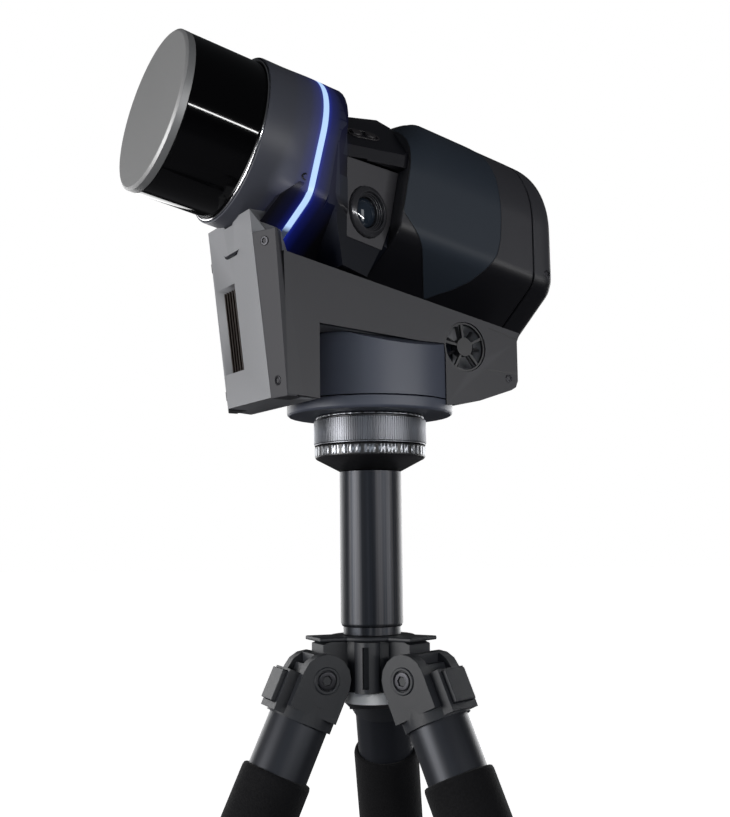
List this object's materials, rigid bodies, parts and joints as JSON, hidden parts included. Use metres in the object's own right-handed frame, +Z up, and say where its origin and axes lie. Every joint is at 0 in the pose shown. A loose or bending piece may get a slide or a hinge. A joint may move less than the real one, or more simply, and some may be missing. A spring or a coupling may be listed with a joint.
{
  "type": "terrestrial laser scanner",
  "caption": "Laser scanner head with a tilted sensor drum, side cameras and a glowing ring, turning on a quick-release post and a folding tripod.",
  "frame": {"origin": "on the floor, under the middle of the whole object's footprint", "axes": "+Z up; the rear leg points along +Y; the scanner faces 39.4 degrees round from -X towards -Y, with its drum tilted up 11 degrees"},
  "size_m": [0.519, 0.4542, 0.9212],
  "materials": {
    "cap_silver": "satin",
    "window_black": "gloss",
    "shell_graphite": "satin",
    "cover_grey": "matte",
    "plate_grey": "matte",
    "cheek_slate": "satin",
    "light_blue": "gloss",
    "camera_black": "satin",
    "lens_glass": "gloss",
    "inner_plastic": "matte",
    "circuit_green": "satin",
    "button_black": "matte",
    "fin_metal": "satin",
    "steel": "satin",
    "anodised_black": "polished",
    "knurl_grey": "satin",
    "tripod_casting": "matte",
    "tube_grey": "satin",
    "foam_black": "matte",
    "rubber_black": "matte"
  },
  "bodies": {
    "stand": {"base_flange": "cover_grey", "pan_bearing": "steel", "pan_motor": "steel", "adapter_cone": "anodised_black", "post": "anodised_black", "apex_plate": "tripod_casting", "apex": "tripod_casting"},
    "head": {"lidar_cap": "cap_silver", "lidar_window": "window_black", "lidar_trim_ring": "cap_silver", "lidar_base": "inner_plastic", "nose_housing": "shell_graphite", "light_ring": "light_blue", "main_shell": "shell_graphite", "rear_cap": "shell_graphite", "main_board": "circuit_green", "battery_pack": "inner_plastic", "base_frame": "cover_grey", "heat_sink": "fin_metal", "fan_grille": "inner_plastic", "turret_drum": "cover_grey", "cheek_panel_right": "cheek_slate", "camera_panel_right": "plate_grey", "camera_barrel_right": "camera_black", "camera_lens_right": "lens_glass", "side_plate_right": "plate_grey", "cheek_panel_left": "cheek_slate", "camera_panel_left": "plate_grey", "camera_barrel_left": "camera_black", "camera_lens_left": "lens_glass", "side_plate_left": "plate_grey"},
    "lidar_spinner": {"lidar_rotor": "inner_plastic"},
    "fan": {"fan_impeller": "inner_plastic"},
    "power_key": {"power_button": "button_black"},
    "record_key": {"record_button": "button_black"},
    "release_ring": {"locking_ring": "knurl_grey"},
    "knob": {"centre_knob": "tripod_casting"},
    "leg_rear": {"shoulder_rear": "tripod_casting", "upper_tube_rear": "tube_grey", "foam_grip_rear": "foam_black"},
    "tab_rear": {"angle_tab_rear": "tripod_casting"},
    "lock_rear": {"twist_lock_rear": "rubber_black"},
    "lower_leg_rear": {"lower_tube_rear": "tube_grey", "foot_rear": "rubber_black"},
    "leg_left": {"shoulder_left": "tripod_casting", "upper_tube_left": "tube_grey", "foam_grip_left": "foam_black"},
    "tab_left": {"angle_tab_left": "tripod_casting"},
    "lock_left": {"twist_lock_left": "rubber_black"},
    "lower_leg_left": {"lower_tube_left": "tube_grey", "foot_left": "rubber_black"},
    "leg_right": {"shoulder_right": "tripod_casting", "upper_tube_right": "tube_grey", "foam_grip_right": "foam_black"},
    "tab_right": {"angle_tab_right": "tripod_casting"},
    "lock_right": {"twist_lock_right": "rubber_black"},
    "lower_leg_right": {"lower_tube_right": "tube_grey", "foot_right": "rubber_black"}
  },
  "joints": [
    {"name": "head_pan", "type": "hinge", "parent": "stand", "child": "head", "pos_m": [0, -0.06976, 0.71184], "axis": [0, 0, 1], "continuous": true},
    {"name": "lidar_spin", "type": "hinge", "parent": "head", "child": "lidar_spinner", "pos_m": [-0.10795, -0.15843, 0.87594], "axis": [0.7585, 0.6231, -0.1908], "continuous": true},
    {"name": "fan_spin", "type": "hinge", "parent": "head", "child": "fan", "pos_m": [0.05844, -0.07741, 0.75104], "axis": [0.6347, -0.7727, 0], "continuous": true},
    {"name": "power_press", "type": "slide", "parent": "head", "child": "power_key", "axis": [-0.4407, 0.5366, -0.7196], "range_m": [0, 0.001], "stiffness_N_per_m": 400, "springref_m": -0.0005},
    {"name": "record_press", "type": "slide", "parent": "head", "child": "record_key", "axis": [-0.4407, 0.5366, -0.7196], "range_m": [0, 0.001], "stiffness_N_per_m": 400, "springref_m": -0.0005},
    {"name": "release_turn", "type": "hinge", "parent": "stand", "child": "release_ring", "pos_m": [0, -0.06976, 0.70214], "axis": [0, 0, 1], "range_deg": [0, 60]},
    {"name": "knob_turn", "type": "hinge", "parent": "stand", "child": "knob", "pos_m": [0, -0.06976, 0.54784], "axis": [0, 0, 1], "range_deg": [0, 360]},
    {"name": "leg_fold_rear", "type": "hinge", "parent": "stand", "child": "leg_rear", "pos_m": [0, -0.03476, 0.56084], "axis": [-1, 0, 0], "range_deg": [0, 16]},
    {"name": "angle_tab_pull_rear", "type": "slide", "parent": "leg_rear", "child": "tab_rear", "axis": [0, 0.9114, 0.4115], "range_m": [0, 0.006], "stiffness_N_per_m": 500, "springref_m": -0.002},
    {"name": "twist_rear", "type": "hinge", "parent": "leg_rear", "child": "lock_rear", "pos_m": [0, 0.18293, 0.07871], "axis": [0, 0.4115, -0.9114], "range_deg": [0, 90]},
    {"name": "leg_extend_rear", "type": "slide", "parent": "leg_rear", "child": "lower_leg_rear", "axis": [0, 0.4115, -0.9114], "range_m": [0, 0.36]},
    {"name": "leg_fold_left", "type": "hinge", "parent": "stand", "child": "leg_left", "pos_m": [-0.03031, -0.08726, 0.56084], "axis": [0.5, -0.866, 0], "range_deg": [0, 16]},
    {"name": "angle_tab_pull_left", "type": "slide", "parent": "leg_left", "child": "tab_left", "axis": [-0.7893, -0.4557, 0.4115], "range_m": [0, 0.006], "stiffness_N_per_m": 500, "springref_m": -0.002},
    {"name": "twist_left", "type": "hinge", "parent": "leg_left", "child": "lock_left", "pos_m": [-0.21884, -0.19611, 0.07871], "axis": [-0.3564, -0.2058, -0.9114], "range_deg": [0, 90]},
    {"name": "leg_extend_left", "type": "slide", "parent": "leg_left", "child": "lower_leg_left", "axis": [-0.3564, -0.2058, -0.9114], "range_m": [0, 0.36]},
    {"name": "leg_fold_right", "type": "hinge", "parent": "stand", "child": "leg_right", "pos_m": [0.03031, -0.08726, 0.56084], "axis": [0.5, 0.866, 0], "range_deg": [0, 16]},
    {"name": "angle_tab_pull_right", "type": "slide", "parent": "leg_right", "child": "tab_right", "axis": [0.7893, -0.4557, 0.4115], "range_m": [0, 0.006], "stiffness_N_per_m": 500, "springref_m": -0.002},
    {"name": "twist_right", "type": "hinge", "parent": "leg_right", "child": "lock_right", "pos_m": [0.21884, -0.19611, 0.07871], "axis": [0.3564, -0.2058, -0.9114], "range_deg": [0, 90]},
    {"name": "leg_extend_right", "type": "slide", "parent": "leg_right", "child": "lower_leg_right", "axis": [0.3564, -0.2058, -0.9114], "range_m": [0, 0.36]}
  ]
}
